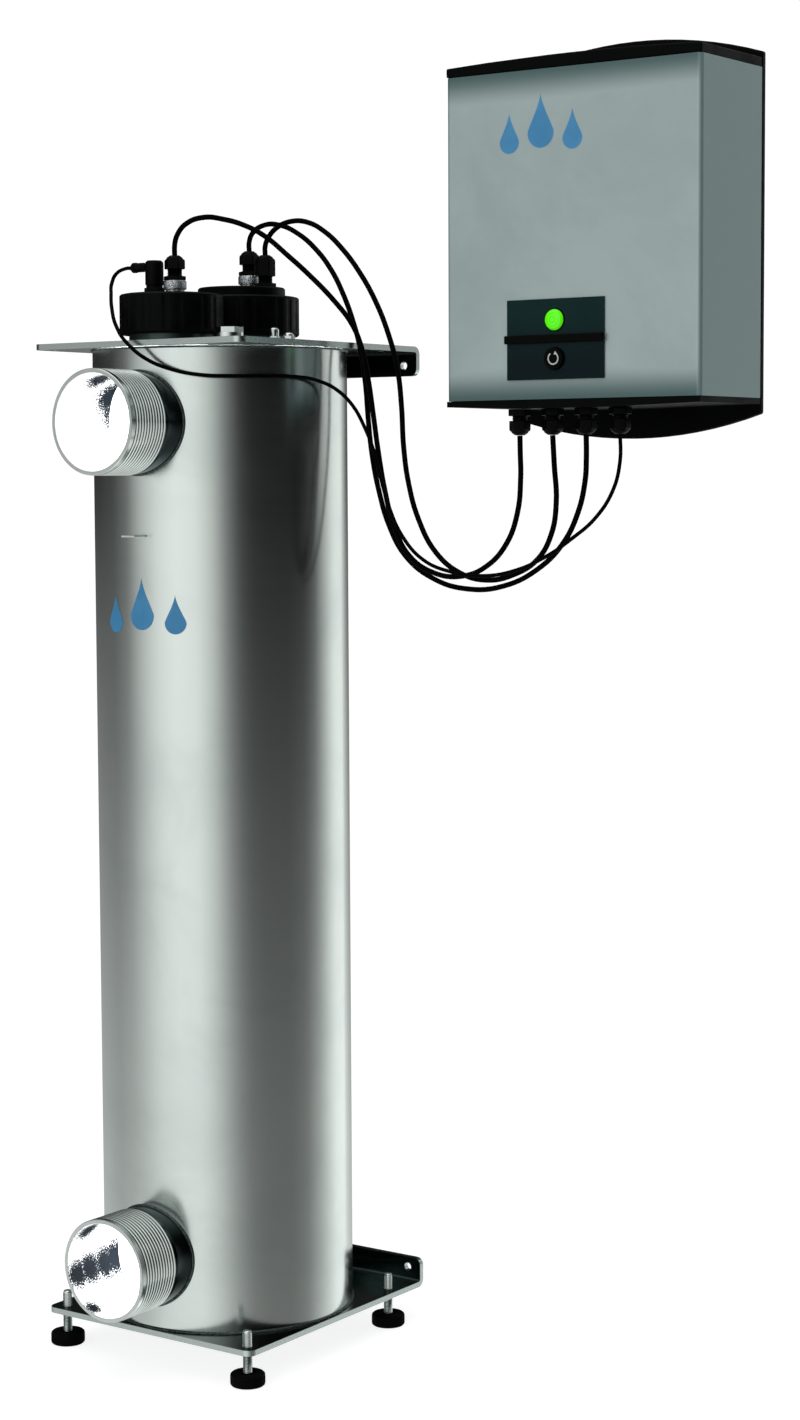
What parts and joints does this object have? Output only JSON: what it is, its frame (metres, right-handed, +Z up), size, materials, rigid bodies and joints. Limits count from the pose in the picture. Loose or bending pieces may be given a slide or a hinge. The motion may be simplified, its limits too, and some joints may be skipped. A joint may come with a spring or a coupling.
{
  "type": "salt chlorine generator",
  "caption": "Upright stainless pool reactor with UV lamp, salt cell and threaded pipe stubs on levelling feet, wired to a wall-hung grey control box.",
  "frame": {"origin": "on the wall plane, on the vessel's centre plane, at the middle of the lower wall flange's rear face", "axes": "+X along the wall towards the control box, +Y into the wall, +Z up; the pipe stubs and the box's front face -Y"},
  "size_m": [0.5698, 0.3051, 1.115],
  "materials": {
    "stainless_steel": "brushed",
    "bright_metal": "bright",
    "coated_titanium": "dull oxide coating",
    "black_plastic": "satin",
    "black_rubber": "matte",
    "cord_jacket": "satin",
    "quartz_glass": "clear",
    "lamp_envelope": "smooth",
    "grey_painted_sheet": "satin",
    "dark_panel": "semi-gloss",
    "green_lens": "clear green",
    "circuit_board_green": "satin"
  },
  "bodies": {
    "reactor_and_box": {"bottom_cap": "black_plastic", "bottom_plate": "stainless_steel", "box_gland_1": "black_plastic", "box_gland_2": "black_plastic", "box_gland_3": "black_plastic", "box_gland_4": "black_plastic", "cell_gland": "black_plastic", "cell_gland_adapter": "bright_metal", "cell_head": "black_plastic", "cell_lead": "cord_jacket", "cell_neck": "stainless_steel", "cell_return_gland": "black_plastic", "cell_return_lead": "cord_jacket", "cell_seal": "black_rubber", "circuit_board": "circuit_board_green", "control_panel": "dark_panel", "earth_lug": "stainless_steel", "electrode_holder": "black_plastic", "electrode_plate_1": "coated_titanium", "electrode_plate_2": "coated_titanium", "electrode_plate_3": "coated_titanium", "front_shell": "grey_painted_sheet", "lamp_gland": "black_plastic", "lamp_gland_adapter": "bright_metal", "lamp_head": "black_plastic", "lamp_lead": "cord_jacket", "lamp_lens": "green_lens", "lamp_neck": "stainless_steel", "lamp_seal": "black_rubber", "lower_stub": "stainless_steel", "panel_bar": "black_plastic", "plate_screw": "stainless_steel", "plate_stud_left": "stainless_steel", "plate_stud_right": "stainless_steel", "power_supply": "bright_metal", "quartz_sleeve": "quartz_glass", "rear_housing": "black_plastic", "sensor_elbow": "black_plastic", "sensor_lead": "cord_jacket", "sensor_plug": "black_plastic", "top_cap": "black_plastic", "top_plate": "stainless_steel", "upper_stub": "stainless_steel", "uv_lamp": "lamp_envelope", "vent_plug": "stainless_steel", "vessel_shell": "stainless_steel"},
    "lamp_ring_nut": {"lamp_ring_nut": "black_plastic"},
    "cell_ring_nut": {"cell_ring_nut": "black_plastic"},
    "reset_button": {"reset_button": "black_plastic"},
    "foot_front_left": {"foot_stud_front_left": "stainless_steel", "foot_pad_front_left": "black_rubber"},
    "foot_front_right": {"foot_stud_front_right": "stainless_steel", "foot_pad_front_right": "black_rubber"},
    "foot_rear_left": {"foot_stud_rear_left": "stainless_steel", "foot_pad_rear_left": "black_rubber"},
    "foot_rear_right": {"foot_stud_rear_right": "stainless_steel", "foot_pad_rear_right": "black_rubber"}
  },
  "joints": [
    {"name": "lamp_ring_nut_turn", "type": "hinge", "parent": "reactor_and_box", "child": "lamp_ring_nut", "pos_m": [0, -0.2023, 0.8537], "axis": [0, 0, 1], "range_deg": [0, 540]},
    {"name": "cell_ring_nut_turn", "type": "hinge", "parent": "reactor_and_box", "child": "cell_ring_nut", "pos_m": [0, -0.1078, 0.8557], "axis": [0, 0, 1], "range_deg": [0, 540]},
    {"name": "reset_button_press", "type": "slide", "parent": "reactor_and_box", "child": "reset_button", "axis": [0, 1, 0], "range_m": [0, 0.0025], "stiffness_N_per_m": 900},
    {"name": "foot_front_left_level", "type": "slide", "parent": "reactor_and_box", "child": "foot_front_left", "axis": [0, 0, 1], "range_m": [-0.008, 0.012]},
    {"name": "foot_front_right_level", "type": "slide", "parent": "reactor_and_box", "child": "foot_front_right", "axis": [0, 0, 1], "range_m": [-0.008, 0.012]},
    {"name": "foot_rear_left_level", "type": "slide", "parent": "reactor_and_box", "child": "foot_rear_left", "axis": [0, 0, 1], "range_m": [-0.008, 0.012]},
    {"name": "foot_rear_right_level", "type": "slide", "parent": "reactor_and_box", "child": "foot_rear_right", "axis": [0, 0, 1], "range_m": [-0.008, 0.012]}
  ]
}
